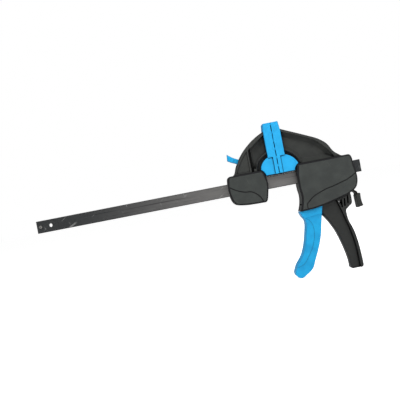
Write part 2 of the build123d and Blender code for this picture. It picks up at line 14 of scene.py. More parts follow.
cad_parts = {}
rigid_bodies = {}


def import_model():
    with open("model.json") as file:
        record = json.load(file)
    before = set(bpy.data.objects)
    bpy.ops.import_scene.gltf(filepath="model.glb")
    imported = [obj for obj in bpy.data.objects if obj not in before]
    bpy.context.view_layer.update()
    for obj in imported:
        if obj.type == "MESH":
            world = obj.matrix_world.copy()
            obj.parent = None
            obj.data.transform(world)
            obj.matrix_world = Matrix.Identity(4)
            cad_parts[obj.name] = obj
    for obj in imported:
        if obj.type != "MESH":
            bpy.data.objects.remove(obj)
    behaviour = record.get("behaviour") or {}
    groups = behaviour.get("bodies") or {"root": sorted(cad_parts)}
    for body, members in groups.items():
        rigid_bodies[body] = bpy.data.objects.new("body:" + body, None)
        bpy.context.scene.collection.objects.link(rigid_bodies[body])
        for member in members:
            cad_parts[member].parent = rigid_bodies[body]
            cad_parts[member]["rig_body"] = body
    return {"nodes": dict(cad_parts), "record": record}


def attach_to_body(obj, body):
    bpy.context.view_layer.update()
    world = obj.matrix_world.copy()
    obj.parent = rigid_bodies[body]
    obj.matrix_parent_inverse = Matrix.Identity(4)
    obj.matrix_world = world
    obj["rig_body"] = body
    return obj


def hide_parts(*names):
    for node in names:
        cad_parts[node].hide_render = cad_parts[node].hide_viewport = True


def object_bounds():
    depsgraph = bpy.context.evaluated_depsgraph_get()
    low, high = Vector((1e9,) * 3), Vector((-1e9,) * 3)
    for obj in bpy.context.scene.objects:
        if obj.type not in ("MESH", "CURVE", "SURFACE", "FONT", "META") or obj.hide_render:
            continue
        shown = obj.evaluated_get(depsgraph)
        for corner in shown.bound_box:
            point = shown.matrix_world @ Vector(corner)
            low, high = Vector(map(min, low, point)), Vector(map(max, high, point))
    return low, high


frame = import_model()
CAD_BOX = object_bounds()
MM = 0.001


# %% [markdown]
# ## Working helpers
# An operator acts on everything that is selected, and the loaded nodes start out selected. So every
# step begins by dropping the selection and picking the one piece that it works on.

# %% Selecting, finishing and attaching
def only(obj):
    """Selects one object and makes it the active one."""
    if bpy.context.object and bpy.context.object.mode != "OBJECT":
        bpy.ops.object.mode_set(mode="OBJECT")
    bpy.ops.object.select_all(action="DESELECT")
    obj.select_set(True)
    bpy.context.view_layer.objects.active = obj
    return obj


def apply_modifier(obj, kind, **settings):
    """Adds a modifier with these settings and applies it."""
    only(obj)
    modifier = obj.modifiers.new(kind.title(), kind)
    for name, value in settings.items():
        setattr(modifier, name, value)
    bpy.ops.object.modifier_apply(modifier=modifier.name)


def attach(obj, body, slot, *stands_for):
    """Hands a finished piece to its body and hides the CAD nodes that it stands for. Slot is not used."""
    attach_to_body(obj, body)
    if stands_for:
        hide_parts(*stands_for)
    print(f"{obj.name}: {len(obj.data.polygons)} faces on {body}")


print("helpers: only, apply_modifier, attach")


# %% [markdown]
# ## Effects that several finishes share
# Moulded plastic and steel differ in their numbers, not in how the pattern is built. Each effect is
# a node group with named inputs and outputs. It reads the piece's own coordinates, so it moves with
# the piece. The groups put out masks and heights only, and the shader stays in each material.

# %% Small builders for node trees
def new_group(name, inputs, outputs):
    """An empty node group with float inputs (name: value) and float outputs."""
    tree = bpy.data.node_groups.new(name, "ShaderNodeTree")
    for label, value in inputs.items():
        socket = tree.interface.new_socket(label, in_out="INPUT", socket_type="NodeSocketFloat")
        socket.default_value = value
    for label in outputs:
        tree.interface.new_socket(label, in_out="OUTPUT", socket_type="NodeSocketFloat")
    return tree, tree.nodes.new("NodeGroupInput").outputs, tree.nodes.new("NodeGroupOutput").inputs


def node(tree, kind, inputs=None, **settings):
    """A node with its settings, and its inputs by name or number: a socket is linked, a value is set."""
    made = tree.nodes.new("ShaderNode" + kind)
    for name, value in settings.items():
        setattr(made, name, value)
    for place, value in (inputs or {}).items():
        if isinstance(value, bpy.types.NodeSocket):
            tree.links.new(value, made.inputs[place])
        else:
            made.inputs[place].default_value = value
    return made


def tell_group(tree):
    print("group:", tree.name, [item.name for item in tree.interface.items_tree])


print("helpers: new_group, node, tell_group")


# %% [markdown]
# ### Sums on values
# A pattern becomes a mask by a few sums: a ramp cuts soft noise into patches, and masks are scaled
# and added. Each of these is one small node, so each gets one short name here.

# %% Sums, ramps and places
def calculate(tree, operation, *values):
    """One Math node, with a socket or a number for each of its inputs."""
    return node(tree, "Math", dict(enumerate(values)), operation=operation).outputs[0]


def times(tree, one, other):
    return calculate(tree, "MULTIPLY", one, other)


def plus(tree, one, other):
    return calculate(tree, "ADD", one, other)


def blend_numbers(tree, share, low, high):
    """low where share is 0 and high where it is 1."""
    return node(tree, "MapRange", {"Value": share, "To Min": low, "To Max": high}).outputs["Result"]


def threshold(tree, value, none_at, full_at):
    """0 up to none_at, 1 from full_at on, and smooth between them. Either may be the larger."""
    ends = {"Value": value, "From Min": none_at, "From Max": full_at}
    return node(tree, "MapRange", ends, interpolation_type="SMOOTHSTEP").outputs["Result"]


def along(tree, axis):
    """How far a point lies along X, Y or Z of its piece's own coordinates, in metres."""
    place = node(tree, "TexCoord").outputs["Object"]
    return node(tree, "SeparateXYZ", {0: place}).outputs[axis]


print("helpers: calculate, times, plus, blend_numbers, threshold, along")


# %% [markdown]
# ### Moulded grain
# A mould for a tool housing is etched, which leaves a fine, even grain on the plastic, a fraction of
# a millimetre across, and flow leaves cloudy patches that are slightly glossier. Fine noise and small
# pits of the same size give the height of the grain, and a much slower noise gives the clouds.

# %% The grain group
NOISE_SHARE, PIT_SHARE = 0.7, 0.4  # what the fine noise and the pits add to the height
CLOUDS_FROM, CLOUDS_TO = 0.35, 0.7  # the slow noise where a cloud begins and where it is full


def make_grain():
    tree, given, put = new_group("moulded grain", {"Grains per metre": 2600.0, "Clouds per metre": 45.0},
                                 ("Height", "Clouds"))
    place = node(tree, "TexCoord").outputs["Object"]
    grains = given["Grains per metre"]
    fine = node(tree, "TexNoise", {"Vector": place, "Scale": grains, "Detail": 2.0, "Roughness": 0.6})
    pits = node(tree, "TexVoronoi", {"Vector": place, "Scale": grains})
    height = plus(tree, times(tree, fine.outputs["Fac"], NOISE_SHARE),
                  times(tree, pits.outputs["Distance"], PIT_SHARE))
    tree.links.new(height, put["Height"])
    clouds = node(tree, "TexNoise", {"Vector": place, "Scale": given["Clouds per metre"], "Detail": 3.0,
                                     "Roughness": 0.55})
    tree.links.new(threshold(tree, clouds.outputs["Fac"], CLOUDS_FROM, CLOUDS_TO), put["Clouds"])
    return tree


GRAIN = make_grain()
tell_group(GRAIN)


# %% [markdown]
# ### Scuffs
# Handling leaves short fine scratches in a few directions, mostly within worn patches. Noise that is
# squeezed along one direction and cut off high gives thin lines, and a slower noise keeps them to
# patches. Two such sets at different angles look like use, and one alone like brushed metal.

# %% The scuff group
SCUFF_TURNS = ((0.3, 0.5, 0.2), (0.3, 1.9, 0.2))  # how each set of scratches is turned, in radians
SCUFF_SQUEEZE = (0.06, 1.0, 1.0)
LINE_FROM, LINE_TO = 0.66, 0.72  # the streaky noise where a scratch begins and where it is full
WORN_FROM, WORN_TO = 0.45, 0.65  # the same for a worn patch in the slow noise


def make_scuffs():
    tree, given, put = new_group(
        "scuffs", {"Lines per metre": 420.0, "Patches per metre": 38.0, "Amount": 0.5}, ("Mask",))
    place = node(tree, "TexCoord").outputs["Object"]
    lines = []
    for turn in SCUFF_TURNS:
        turned = node(tree, "Mapping", {"Vector": place, "Rotation": turn}).outputs["Vector"]
        squeezed = node(tree, "Mapping", {"Vector": turned, "Scale": SCUFF_SQUEEZE}).outputs["Vector"]
        streaks = node(tree, "TexNoise", {"Vector": squeezed, "Scale": given["Lines per metre"],
                                          "Detail": 1.0, "Distortion": 0.3})
        lines.append(threshold(tree, streaks.outputs["Fac"], LINE_FROM, LINE_TO))
    both = calculate(tree, "MAXIMUM", *lines)
    patches = node(tree, "TexNoise", {"Vector": place, "Scale": given["Patches per metre"],
                                      "Detail": 2.0})
    worn = threshold(tree, patches.outputs["Fac"], WORN_FROM, WORN_TO)
    tree.links.new(times(tree, times(tree, both, worn), given["Amount"]), put["Mask"])
    return tree


SCUFFS = make_scuffs()
tell_group(SCUFFS)


# %% [markdown]
# ### Painted shade on rims
# The rounded rims of the mouldings turn away from the flat cheeks and from the light, so shade is
# painted on them as a darker colour, and on the covers they are also rougher. The cheek faces +Y or
# -Y at every position of the clamp's joints, so the Y part of the surface's normal tells the two apart.

# %% The painted rim shade group
def make_turned_away_shade():
    # a mask for the shade painted where the surface turns away from the cheeks
    tree, given, put = new_group("rim_shade", {"Full at": 0.72, "None at": 0.96}, ("Mask",))
    normal = node(tree, "NewGeometry").outputs["Normal"]
    sideways = node(tree, "SeparateXYZ", {0: normal}).outputs["Y"]
    facing = calculate(tree, "ABSOLUTE", sideways)
    made = node(tree, "MapRange", {"Value": facing, "From Min": given["Full at"],
                                   "From Max": given["None at"], "To Min": 1.0, "To Max": 0.0})
    tree.links.new(made.outputs["Result"], put["Mask"])
    return tree


TURNED_AWAY_SHADE = make_turned_away_shade()
tell_group(TURNED_AWAY_SHADE)


# %% [markdown]
# ### Painted shade in grooves
# A groove cut into a cheek gets little light, so its floor is painted darker than the face around
# it, as shade. Its floor faces the same way as the cheek, so the normal doesn't tell them apart. It
# lies deeper, though, so the distance from the clamp's middle plane finds it.

# %% The groove group
def make_grooves():
    tree, given, put = new_group("grooves", {"Cheek at": 0.018, "Deeper by": 0.0004}, ("Mask",))
    out = calculate(tree, "ABSOLUTE", along(tree, "Y"))
    floor_at = calculate(tree, "SUBTRACT", given["Cheek at"], given["Deeper by"])
    tree.links.new(calculate(tree, "LESS_THAN", out, floor_at), put["Mask"])
    return tree


GROOVES = make_grooves()
tell_group(GROOVES)


# %% [markdown]
# ### Drawn steel
# Strip and wire are pulled through rollers or a die, which leaves fine lines along their length.
# Noise that is stretched along X gives them, with a few deeper ones picked out of a second noise. A
# wave texture would space them evenly, as no die does.

# %% The drawn-line group
DEEP_SPREAD = 0.35  # the second noise has this share of the first one's lines
DEEP_FROM, DEEP_TO = 0.62, 0.7  # the second noise where a deep line begins and where it is full


def make_drawn_lines():
    tree, given, put = new_group("drawn lines", {"Across per metre": 1500.0, "Stretch": 0.012},
                                 ("Fine", "Deep"))
    place = node(tree, "TexCoord").outputs["Object"]
    across = given["Across per metre"]
    squeeze = node(tree, "CombineXYZ", {"X": given["Stretch"], "Y": 1.0, "Z": 1.0}).outputs[0]
    drawn = node(tree, "VectorMath", {0: place, 1: squeeze}, operation="MULTIPLY").outputs[0]
    fine = node(tree, "TexNoise", {"Vector": drawn, "Scale": across, "Detail": 4.0, "Roughness": 0.7})
    tree.links.new(fine.outputs["Fac"], put["Fine"])
    coarse = node(tree, "TexNoise", {"Vector": drawn, "Scale": times(tree, across, DEEP_SPREAD),
                                     "Detail": 2.0})
    tree.links.new(threshold(tree, coarse.outputs["Fac"], DEEP_FROM, DEEP_TO), put["Deep"])
    return tree


DRAWN = make_drawn_lines()
tell_group(DRAWN)


# %% [markdown]
# ## The finishes
# Each slot of the part gets its own material around one Principled shader. Colours are blends
# between two close tones, steered by the shared masks, because no real surface is a single tone.
# Some of the masks paint shade: on rims, in grooves and in creases.

# %% Helpers for a material
def use(tree, group, **values):
    """The shared effect inside a material, with this finish's own values."""
    made = tree.nodes.new("ShaderNodeGroup")
    made.node_tree = group
    for label, value in values.items():
        made.inputs[label.replace("_", " ")].default_value = value
    return made.outputs


def tone(tree, share, low, high):
    """A colour between two tones. Share may be a socket or a number, and so may each tone."""
    made = node(tree, "Mix", {"Factor": share}, data_type="RGBA")
    for label, colour in (("A", low), ("B", high)):
        socket = [s for s in made.inputs if s.name == label and s.type == "RGBA"][0]
        if isinstance(colour, bpy.types.NodeSocket):
            tree.links.new(colour, socket)
        else:
            socket.default_value = (*colour, 1.0)
    return [s for s in made.outputs if s.type == "RGBA"][0]


def new_finish(name, **fixed):
    """A material with one Principled shader. Fixed values go straight to its sockets."""
    material = bpy.data.materials.new(name)
    material.use_nodes = True
    tree = material.node_tree
    shader = tree.nodes["Principled BSDF"]
    for label, value in fixed.items():
        shader.inputs[label.replace("_", " ")].default_value = value
    return material, tree, shader.inputs


def bumped(tree, height, depth):
    """The normal of a surface whose height varies by depth, in metres."""
    return node(tree, "Bump", {"Height": height, "Strength": 1.0, "Distance": depth}).outputs["Normal"]


def tell_finishes(*materials):
    for material in materials:
        print("finish:", material.name, "with", len(material.node_tree.nodes), "nodes")


print("helpers: use, tone, new_finish, bumped, tell_finishes")


# %% [markdown]
# ### Painted shade in creases
# Little light gets into a groove, a slot or the gap between two pieces, so on the real clamp they
# read as black lines, and that shade is painted into the colour here. It could be painted piece by
# piece, but an ambient occlusion node finds every such place: it gives the open share of the space
# round a point, out to a reach.
# It stays in the material itself, because what it gives depends on the side that it looks from.
# A second helper keeps an effect to one part of a piece, by the place along one of its axes.

# %% Painting shade in creases, and a part of a piece
OPEN_FROM, OPEN_TO = 0.92, 0.60  # the open share where a crease begins and where it is full
OPEN_RAYS = 12


def painted_crease_shade(tree, reach, own=True):
    """Where shade is painted: 1 deep in a groove, slot or inner corner, 0 on open faces. Reach is in mm.

    Own leaves out what other pieces cover.
    """
    found = node(tree, "AmbientOcclusion", {"Distance": reach * MM}, only_local=own, samples=OPEN_RAYS)
    return threshold(tree, found.outputs["AO"], OPEN_FROM, OPEN_TO)


def ramp_along(tree, axis, none_at, full_at):
    """0 to 1 along one of the piece's own axes, between two places in mm."""
    return threshold(tree, along(tree, axis), none_at * MM, full_at * MM)


print("creases: open share from", OPEN_FROM, "to", OPEN_TO, "by", OPEN_RAYS, "rays")


# %% [markdown]
# ### Dark plastics
# The covers are a satin grey-black nylon, and near-black shade is painted on their rims. The frame,
# arms and handle are the same nylon with more glass fibre, and a little darker in colour. They could
# be two separate materials, but both start from one grained plastic here, so that their grain
# matches. Each then adds the shade painted on the rims, grooves and creases of its own pieces.

# %% The plastic that both start from
# a scuff's lighter grey, and the near-black painted as shade in creases
PLASTIC_SCUFF, CREASE_SHADE_BLACK = (0.075, 0.080, 0.075), (0.0015, 0.0015, 0.0018)
SATIN, GLOSSIER = 0.58, 0.48  # roughness between the clouds and on them
SCUFF_ROUGHER, RIM_ROUGHER = 0.15, 0.2
PLASTIC_GRAIN = 0.03 * MM


def dark_plastic(name, base, cloud):
    """The start of a satin, finely grained plastic.

    Returns its material, tree, shader sockets, colour and roughness.
    """
    material, tree, shader = new_finish(name, Specular_IOR_Level=0.3)
    grain = use(tree, GRAIN)
    scuffs = use(tree, SCUFFS, Amount=0.2)
    colour = tone(tree, grain["Clouds"], base, cloud)
    colour = tone(tree, scuffs["Mask"], colour, PLASTIC_SCUFF)
    rough = plus(tree, blend_numbers(tree, grain["Clouds"], SATIN, GLOSSIER),
                 times(tree, scuffs["Mask"], SCUFF_ROUGHER))
    tree.links.new(bumped(tree, grain["Height"], PLASTIC_GRAIN), shader["Normal"])
    return material, tree, shader, colour, rough


print("dark plastic: roughness from", GLOSSIER, "to", SATIN)

# %% Cover plastic
# the last is the near-black painted as shade on the rims and in the grooves
COVER_GREY, COVER_CLOUD, COVER_SHADE_BLACK = (0.031, 0.035, 0.033), (0.041, 0.046, 0.043), (0.005, 0.005, 0.006)
BODY_CHEEK, JAW_CHEEK = 18 * MM, 17 * MM  # from the clamp's middle plane to each housing's cheek
# how far the painted crease shade reaches
COVER_SHADE_REACH = 2.0  # mm


def cover_plastic(name, cheek):
    """The covers' plastic. Cheek is how far their faces lie from the clamp's middle plane."""
    material, tree, shader, colour, rough = dark_plastic(name, COVER_GREY, COVER_CLOUD)
    rim_shade = use(tree, TURNED_AWAY_SHADE)["Mask"]
    # shade painted on the rims, in the grooves and, black, in the creases
    colour = tone(tree, rim_shade, colour, COVER_SHADE_BLACK)
    colour = tone(tree, use(tree, GROOVES, Cheek_at=cheek)["Mask"], colour, COVER_SHADE_BLACK)
    colour = tone(tree, painted_crease_shade(tree, COVER_SHADE_REACH), colour, CREASE_SHADE_BLACK)
    tree.links.new(colour, shader["Base Color"])
    tree.links.new(plus(tree, rough, times(tree, rim_shade, RIM_ROUGHER)), shader["Roughness"])
    return material


COVER_PLASTIC = cover_plastic("cover plastic", BODY_CHEEK)
JAW_COVER_PLASTIC = cover_plastic("jaw cover plastic", JAW_CHEEK)
tell_finishes(COVER_PLASTIC, JAW_COVER_PLASTIC)

# %% Frame plastic
# the last is the shade painted on rims near the cheeks
FRAME_GREY, FRAME_STREAK, FRAME_RIM_SHADE = (0.025, 0.027, 0.025), (0.034, 0.036, 0.033), (0.012, 0.012, 0.012)
HANDLE_GREY, HANDLE_FROM, HANDLE_TO = (0.018, 0.019, 0.018), -38, -62  # heights in mm
FRAME_CHEEK = 10.5 * MM  # rims that lie nearer to the middle plane keep the frame's grey
# how far the painted crease shade reaches; it also counts what other pieces cover
FRAME_SHADE_REACH = 5.0  # mm


def frame_plastic():
    """The frame's plastic: darker on the handle, with shade painted on rims near the cheeks and, black,
    in creases.
    """
    material, tree, shader, colour, rough = dark_plastic("frame plastic", FRAME_GREY, FRAME_STREAK)
    colour = tone(tree, ramp_along(tree, "Z", HANDLE_FROM, HANDLE_TO), colour, HANDLE_GREY)
    inside = use(tree, GROOVES, Cheek_at=FRAME_CHEEK, Deeper_by=0.0)["Mask"]
    # shade painted on rims near the cheeks, then black shade in creases and gaps between pieces
    rim_shade = times(tree, use(tree, TURNED_AWAY_SHADE)["Mask"], blend_numbers(tree, inside, 1.0, 0.0))
    colour = tone(tree, rim_shade, colour, FRAME_RIM_SHADE)
    colour = tone(tree, painted_crease_shade(tree, FRAME_SHADE_REACH, own=False), colour, CREASE_SHADE_BLACK)
    tree.links.new(colour, shader["Base Color"])
    tree.links.new(rough, shader["Roughness"])
    return material


FRAME_PLASTIC = frame_plastic()
tell_finishes(FRAME_PLASTIC)


# %% [markdown]
# ### Blue mouldings
# The pads are a soft rubbery blue with a dry grain. The trigger and the release tab are a harder
# and glossier blue, with a few scuffs from fingers. One recipe makes both, and paints shade on the
# edges where the moulding turns away and in creases. The harder blue has that crease shade only low
# on the trigger, so that its top and the tab stay free of it.

# %% Pad and trigger blue
# the third tone of each is the one painted on the rims as shade
PAD_TONES = (0.016, 0.380, 0.75), (0.013, 0.340, 0.68), (0.008, 0.24, 0.52)  # bright, deep and rim
TRIGGER_TONES = (0.010, 0.345, 0.66), (0.008, 0.280, 0.57), (0.008, 0.28, 0.57)
# the blue painted as shade in creases, and a scuff's lighter blue
CREASE_SHADE_BLUE, BLUE_SCUFF = (0.001, 0.010, 0.030), (0.10, 0.50, 0.85)
SHADE_FADE = 2  # mm over which the creases fade out at their height
CLOUDS_GLOSSIER = 0.08
BLUE_GRAIN = 0.02 * MM


def blue_plastic(name, tones, rough, grains, shade_reach, shade_below):
    """A dry blue moulding with shade painted on its rims and in its creases. The last two are in mm."""
    bright, deep, rim_shade_tone = tones
    material, tree, shader = new_finish(name, Specular_IOR_Level=0.25)
    grain = use(tree, GRAIN, Grains_per_metre=grains, Clouds_per_metre=60.0)
    scuffs = use(tree, SCUFFS, Lines_per_metre=520.0, Amount=0.15)
    rim_shade = use(tree, TURNED_AWAY_SHADE, Full_at=0.5, None_at=0.95)
    colour = tone(tree, grain["Clouds"], bright, deep)
    # shade painted on the rims
    colour = tone(tree, rim_shade["Mask"], colour, rim_shade_tone)
    colour = tone(tree, scuffs["Mask"], colour, BLUE_SCUFF)
    # shade painted in creases, only below a height
    crease_shade = times(tree, painted_crease_shade(tree, shade_reach),
                    ramp_along(tree, "Z", shade_below + SHADE_FADE, shade_below))
    tree.links.new(tone(tree, crease_shade, colour, CREASE_SHADE_BLUE), shader["Base Color"])
    roughness = blend_numbers(tree, grain["Clouds"], rough, rough - CLOUDS_GLOSSIER)
    tree.links.new(roughness, shader["Roughness"])
    tree.links.new(bumped(tree, grain["Height"], BLUE_GRAIN), shader["Normal"])
    return material


PAD_BLUE = blue_plastic("pad blue", PAD_TONES, rough=0.65, grains=1900.0,
                        shade_reach=3.0, shade_below=100)
TRIGGER_BLUE = blue_plastic("trigger blue", TRIGGER_TONES, rough=0.5, grains=2600.0,
                            shade_reach=2.5, shade_below=-70)
tell_finishes(PAD_BLUE, TRIGGER_BLUE)


# %% [markdown]
# ### The bar's blackened steel
# The bar is cold-drawn strip, blackened against rust. The jaw and the clutch plates ride on it and
# rub the black thin, more and more toward the main body, so bare steel shows in lengthways lines.
# An even grey would look like plastic, so a ramp along the bar is broken up by the drawn lines.

# %% Bar steel
BAR_BLACK, BAR_BARE, BAR_EDGE = (0.055, 0.058, 0.060), (0.34, 0.33, 0.32), (0.030, 0.030, 0.031)
BAR_SCRATCH = (0.42, 0.42, 0.41)
RUBBED_FROM, RUBBED_TO = -360, -30  # mm along the bar: where the rubbing sets in and where it is full
RUBBED_END, END_FADE = 100, 10  # mm: where it starts to end, and over what length
LEAST_RUBBED, DEEP_LINES = 0.35, 0.6
EDGE_FROM, EDGE_TO = 8.4 * MM, 9.8 * MM  # the bar's upper and lower edges stay darkest
BAR_GLOSS, BAR_DULL = 0.30, 0.46
BAR_LINES = 0.02 * MM


def bar_steel():
    material, tree, shader = new_finish("bar steel", Metallic=0.85)
    drawn = use(tree, DRAWN)
    scuffs = use(tree, SCUFFS, Lines_per_metre=300.0, Amount=0.8)
    rubbed = times(tree, ramp_along(tree, "X", RUBBED_FROM, RUBBED_TO),
                   ramp_along(tree, "X", RUBBED_END + END_FADE, RUBBED_END))
    share = times(tree, rubbed, blend_numbers(tree, drawn["Fine"], LEAST_RUBBED, 1.0))
    colour = tone(tree, share, BAR_BLACK, BAR_BARE)
    colour = tone(tree, times(tree, drawn["Deep"], DEEP_LINES), colour, BAR_EDGE)
    colour = tone(tree, scuffs["Mask"], colour, BAR_SCRATCH)
    edge = threshold(tree, calculate(tree, "ABSOLUTE", along(tree, "Z")), EDGE_FROM, EDGE_TO)
    tree.links.new(tone(tree, edge, colour, BAR_EDGE), shader["Base Color"])
    tree.links.new(blend_numbers(tree, drawn["Fine"], BAR_GLOSS, BAR_DULL), shader["Roughness"])
    tree.links.new(bumped(tree, drawn["Fine"], BAR_LINES), shader["Normal"])
    return material


BAR_STEEL = bar_steel()
tell_finishes(BAR_STEEL)


# %% [markdown]
# ### Turned, pressed and wound steel
# Pins are ground bright, screws are black-oxidised, the clutch plates are hardened and blued, the
# springs are oiled wire, and the brake lever is blackened and dull. One recipe serves all five, with
# their own tones and gloss.

# %% Small steel parts
STEEL_SCRATCH = (0.6, 0.6, 0.58)
LINES_ROUGHER = 0.18
STEEL_LINES = 0.01 * MM


def small_steel(name, bright, dull, rough, lines):
    """A steel of two tones. Rough is its least roughness, and lines is its lines to a metre."""
    material, tree, shader = new_finish(name, Metallic=1.0)
    grain = use(tree, GRAIN, Grains_per_metre=3200.0, Clouds_per_metre=160.0)
    drawn = use(tree, DRAWN, Across_per_metre=lines, Stretch=0.4)
    scuffs = use(tree, SCUFFS, Lines_per_metre=900.0, Patches_per_metre=120.0, Amount=0.6)
    colour = tone(tree, grain["Clouds"], bright, dull)
    colour = tone(tree, scuffs["Mask"], colour, STEEL_SCRATCH)
    tree.links.new(colour, shader["Base Color"])
    tree.links.new(blend_numbers(tree, drawn["Fine"], rough, rough + LINES_ROUGHER), shader["Roughness"])
    tree.links.new(bumped(tree, drawn["Fine"], STEEL_LINES), shader["Normal"])
    return material


PIN_STEEL = small_steel("pin steel", (0.46, 0.45, 0.43), (0.30, 0.29, 0.28), 0.28, 2400.0)
SCREW_STEEL = small_steel("screw steel", (0.07, 0.07, 0.075), (0.12, 0.12, 0.12), 0.38, 1800.0)
PLATE_STEEL = small_steel("plate steel", (0.22, 0.23, 0.26), (0.13, 0.14, 0.17), 0.34, 1300.0)
SPRING_STEEL = small_steel("spring steel", (0.30, 0.29, 0.27), (0.20, 0.19, 0.18), 0.30, 2000.0)
LEVER_STEEL = small_steel("lever steel", (0.030, 0.026, 0.023), (0.020, 0.018, 0.016), 0.55, 1300.0)
tell_finishes(PIN_STEEL, SCREW_STEEL, PLATE_STEEL, SPRING_STEEL, LEVER_STEEL)


# %% [markdown]
# ### A finish for every piece
# The record names a material slot for each node, and most nodes simply take their slot's finish.
# Three have their own: the jaw's covers, whose cheeks lie nearer to the middle plane than the body's,
# and the brake lever, which is darker and duller than the other steel in its slot.

# %% Give the nodes their finishes
FINISHES = {
    "bar_steel": BAR_STEEL, "pin_steel": PIN_STEEL, "plate_steel": PLATE_STEEL,
    "spring_steel": SPRING_STEEL, "screw_steel": SCREW_STEEL, "frame_plastic": FRAME_PLASTIC,
    "cover_plastic": COVER_PLASTIC, "pad_blue": PAD_BLUE, "trigger_blue": TRIGGER_BLUE,
}
OWN_FINISH = {
    "jaw_cover_near": JAW_COVER_PLASTIC, "jaw_cover_far": JAW_COVER_PLASTIC, "brake_lever": LEVER_STEEL,
}
NODE_SLOTS = {part["node"]: part["material_slot"] for part in frame["record"]["subparts"]}
for name, obj in frame["nodes"].items():
    obj.data.materials.clear()
    obj.data.materials.append(OWN_FINISH.get(name) or FINISHES[NODE_SLOTS[name]])
print("finishes:", sorted(FINISHES), "own:", sorted(OWN_FINISH))


# %% [markdown]
# ## The foot of the arm's hollow
# The fixed arm is an open I section, and in a mould the slope round such a hollow runs into its floor
# in a small curve. A bevel would round both ends of the slope alike. Insetting the floor twice, each
# time a little deeper, makes the curve out of two narrow rings, and smooth shading blends them.

# %% Rings round the hollow's floors
SIDEWAYS = 0.99  # a face with at least this much Y in its normal is flat to the side
HOLLOWED = "body_frame"
ARM_FLOOR, FLOOR_SLACK = 4.0, 0.05  # mm from the middle plane to the hollow's floor, and how exactly
FOOT_RINGS = ((0.9, 0.5), (0.9, 0.25))  # mm inward and mm deeper, ring by ring


def round_the_foot(mesh):
    """Adds the rings round the floors of the fixed arm's hollow, one on each side."""
    bpy.context.tool_settings.mesh_select_mode = (False, False, True)
    bpy.ops.mesh.select_all(action="DESELECT")
    bpy.ops.object.mode_set(mode="OBJECT")
    for face in mesh.polygons:
        flat = abs(face.normal.y) > SIDEWAYS and face.center.z > 0
        face.select = flat and abs(abs(face.center.y) - ARM_FLOOR * MM) < FLOOR_SLACK * MM
    print("floors of the arm's hollow:", sum(face.select for face in mesh.polygons))
    bpy.ops.object.mode_set(mode="EDIT")
    for inward, deeper in FOOT_RINGS:
        bpy.ops.mesh.inset(thickness=inward * MM, depth=-deeper * MM, use_even_offset=True)


print("helper: round_the_foot, with", len(FOOT_RINGS), "rings")


# %% [markdown]
# ## Soft edges on the moulded and cut pieces
# A moulding has no knife edges, and light catches its rounded ones first. The CAD solids keep their
# edges crisp to stay light, so each one that shows gets a dressed copy: its loose triangles are
# merged, flat areas become single faces again, and a bevel rounds what is left as an edge. Weighted
# normals then keep the large faces flat beside their rounded edges.

# %% Dress the nodes that show
SAME_POINT = 0.002 * MM  # points nearer than this are one point
FLAT = math.radians(1.0)  # faces that turn less than this are one face
EDGE = math.radians(28)  # a sharper turn gets the bevel
SMOOTH = math.radians(34)  # a sharper turn stays a hard edge in the shading
EDGE_SEGMENTS = 3
EDGE_WIDTHS = {
    "body_cover_near": 0.6, "body_cover_far": 0.6, "jaw_cover_near": 0.6, "jaw_cover_far": 0.6,
    "body_frame": 0.35, "jaw_frame": 0.35, "body_pad": 0.4, "jaw_pad": 0.4, "trigger": 0.5,
    "release_lever": 0.4, "brake_paddle": 0.4, "brake_lever": 0.25, "bar": 0.2,
}


def dress(name, width):
    """Puts in a CAD node's place a copy whose edges are rounded to a width in mm."""
    source = frame["nodes"][name]
    piece = bpy.data.objects.new(name + "_dressed", source.data.copy())
    bpy.context.scene.collection.objects.link(piece)
    only(piece)
    bpy.ops.object.mode_set(mode="EDIT")
    bpy.ops.mesh.select_all(action="SELECT")
    bpy.ops.mesh.remove_doubles(threshold=SAME_POINT)
    bpy.ops.mesh.customdata_custom_splitnormals_clear()
    bpy.ops.mesh.dissolve_limited(angle_limit=FLAT)
    if name == HOLLOWED:
        round_the_foot(piece.data)
    bpy.ops.object.mode_set(mode="OBJECT")
    apply_modifier(piece, "BEVEL", width=width * MM, segments=EDGE_SEGMENTS, limit_method="ANGLE",
                   angle_limit=EDGE, use_clamp_overlap=True, miter_outer="MITER_ARC")
    bpy.ops.object.shade_smooth_by_angle(angle=SMOOTH)
    apply_modifier(piece, "WEIGHTED_NORMAL", keep_sharp=True)
    attach(piece, source["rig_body"], NODE_SLOTS[name], name)


for name, width in EDGE_WIDTHS.items():
    dress(name, width)


# %% [markdown]
# ## Cover screws
# Pan-head screws hold the far cover of each housing. A screw is a cylinder for the head with its rim
# rounded over, a thinner one for the shank, and a cross-shaped recess that two crossed bars cut into
# the head. The recess is cut and not drawn, because its edges catch the light.

# %% One screw
HEAD_R, HEAD_THICK, SHANK_R, DOME = 3.0 * MM, 1.6 * MM, 1.5 * MM, 0.7 * MM
CROSS_LONG, CROSS_WIDE, CROSS_DEEP = 3.6 * MM, 0.9 * MM, 0.9 * MM
ROUND_SIDES, DOME_SEGMENTS = 32, 4


def round_bar(radius, low, high):
    """A cylinder along Y from low to high, at X = Z = 0."""
    bpy.ops.object.select_all(action="DESELECT")
    bpy.ops.mesh.primitive_cylinder_add(vertices=ROUND_SIDES, radius=radius, depth=high - low,
                                        location=(0, (low + high) / 2, 0), rotation=(math.pi / 2, 0, 0))
    bpy.ops.object.transform_apply(location=True, rotation=True, scale=True)
    return bpy.context.object


